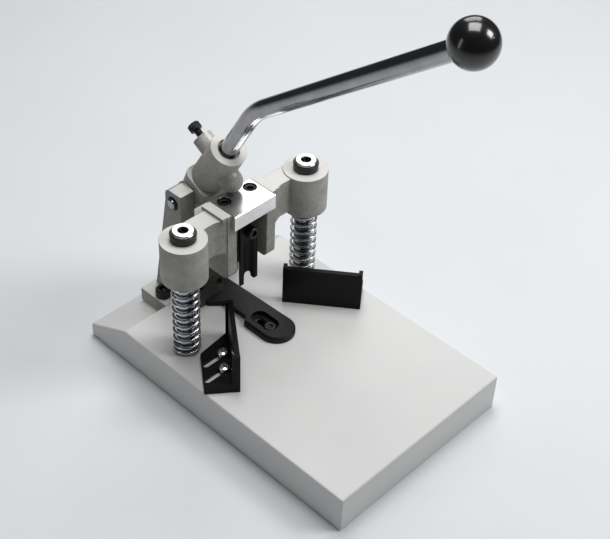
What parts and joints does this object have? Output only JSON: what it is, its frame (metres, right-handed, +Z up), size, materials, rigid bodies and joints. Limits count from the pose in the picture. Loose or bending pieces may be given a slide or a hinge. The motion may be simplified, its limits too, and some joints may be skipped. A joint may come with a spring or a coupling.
{
  "type": "corner rounder",
  "caption": "Hand-lever corner rounder: a lever presses a sprung crosshead with a hollow corner blade down guide posts onto an anvil bar, between two adjustable fences.",
  "frame": {"origin": "middle of the base's flat underside", "axes": "+Z up, -Y towards the operator, where the paper lies, +X to the right"},
  "size_m": [0.1768, 0.2927, 0.3781],
  "materials": {
    "base_paint": "light grey paint, semi-matt",
    "casting_paint": "light warm grey paint over a rough casting",
    "polished_steel": "polished",
    "ground_steel": "ground and hard chromed",
    "plate_steel": "ground",
    "spring_wire": "zinc plated",
    "bronze": "machined bronze",
    "insert_brass": "machined",
    "knob_plastic": "gloss black",
    "buffer_rubber": "matt black",
    "black_oxide": "black oxide, oiled",
    "zinc_steel": "zinc plated",
    "tool_steel": "blackened, hardened",
    "fence_black": "black, satin"
  },
  "bodies": {
    "machine": {"base_plate": "base_paint", "column": "casting_paint", "guide_block": "tool_steel", "guide_block_screws": "black_oxide", "column_foot_screws": "black_oxide", "column_under_screws": "black_oxide", "pivot_pin": "ground_steel", "pin_grub_screw": "black_oxide", "hub_washers": "zinc_steel", "guide_post_left": "ground_steel", "guide_post_right": "ground_steel", "post_fixing_screws": "black_oxide", "buffer_washer_left": "buffer_rubber", "buffer_washer_right": "buffer_rubber", "keeper_washer_left": "black_oxide", "keeper_washer_right": "black_oxide", "post_cap_screw_left": "zinc_steel", "post_cap_screw_right": "zinc_steel", "spring_left": "spring_wire", "spring_right": "spring_wire", "fence_left_screws": "zinc_steel", "fence_right_screws": "zinc_steel", "anvil_screw": "black_oxide"},
    "lever": {"lever_hub": "casting_paint", "handle_rod": "polished_steel", "ball_knob": "knob_plastic", "knob_insert": "insert_brass", "handle_clamp_screw": "black_oxide"},
    "press_head": {"crosshead": "casting_paint", "guide_sleeve_left": "bronze", "guide_sleeve_right": "bronze", "pressure_plate": "plate_steel", "pressure_plate_screws": "black_oxide", "corner_blade": "tool_steel", "blade_screw": "black_oxide"},
    "left_fence": {"fence_left": "fence_black"},
    "right_fence": {"fence_right": "fence_black"},
    "anvil": {"anvil_bar": "tool_steel"}
  },
  "joints": [
    {"name": "lever_swing", "type": "hinge", "parent": "machine", "child": "lever", "pos_m": [0, 0.0995, 0.1295], "axis": [1, 0, 0], "range_deg": [0, 39.48]},
    {"name": "crosshead_slide", "type": "slide", "parent": "machine", "child": "press_head", "axis": [0, 0, -1], "range_m": [0, 0.0265], "stiffness_N_per_m": 7000, "springref_m": -0.008, "deforming": ["spring_left", "spring_right"]},
    {"name": "left_fence_slide", "type": "slide", "parent": "machine", "child": "left_fence", "axis": [1, 0, 0], "range_m": [0, 0.0115]},
    {"name": "right_fence_slide", "type": "slide", "parent": "machine", "child": "right_fence", "axis": [-1, 0, 0], "range_m": [0, 0.0115]},
    {"name": "anvil_slide", "type": "slide", "parent": "machine", "child": "anvil", "axis": [0, -1, 0], "range_m": [0, 0.0115]}
  ],
  "couplings": [
    {"joint": "crosshead_slide", "follows": "lever_swing", "m_per_rad": 0.038462}
  ]
}
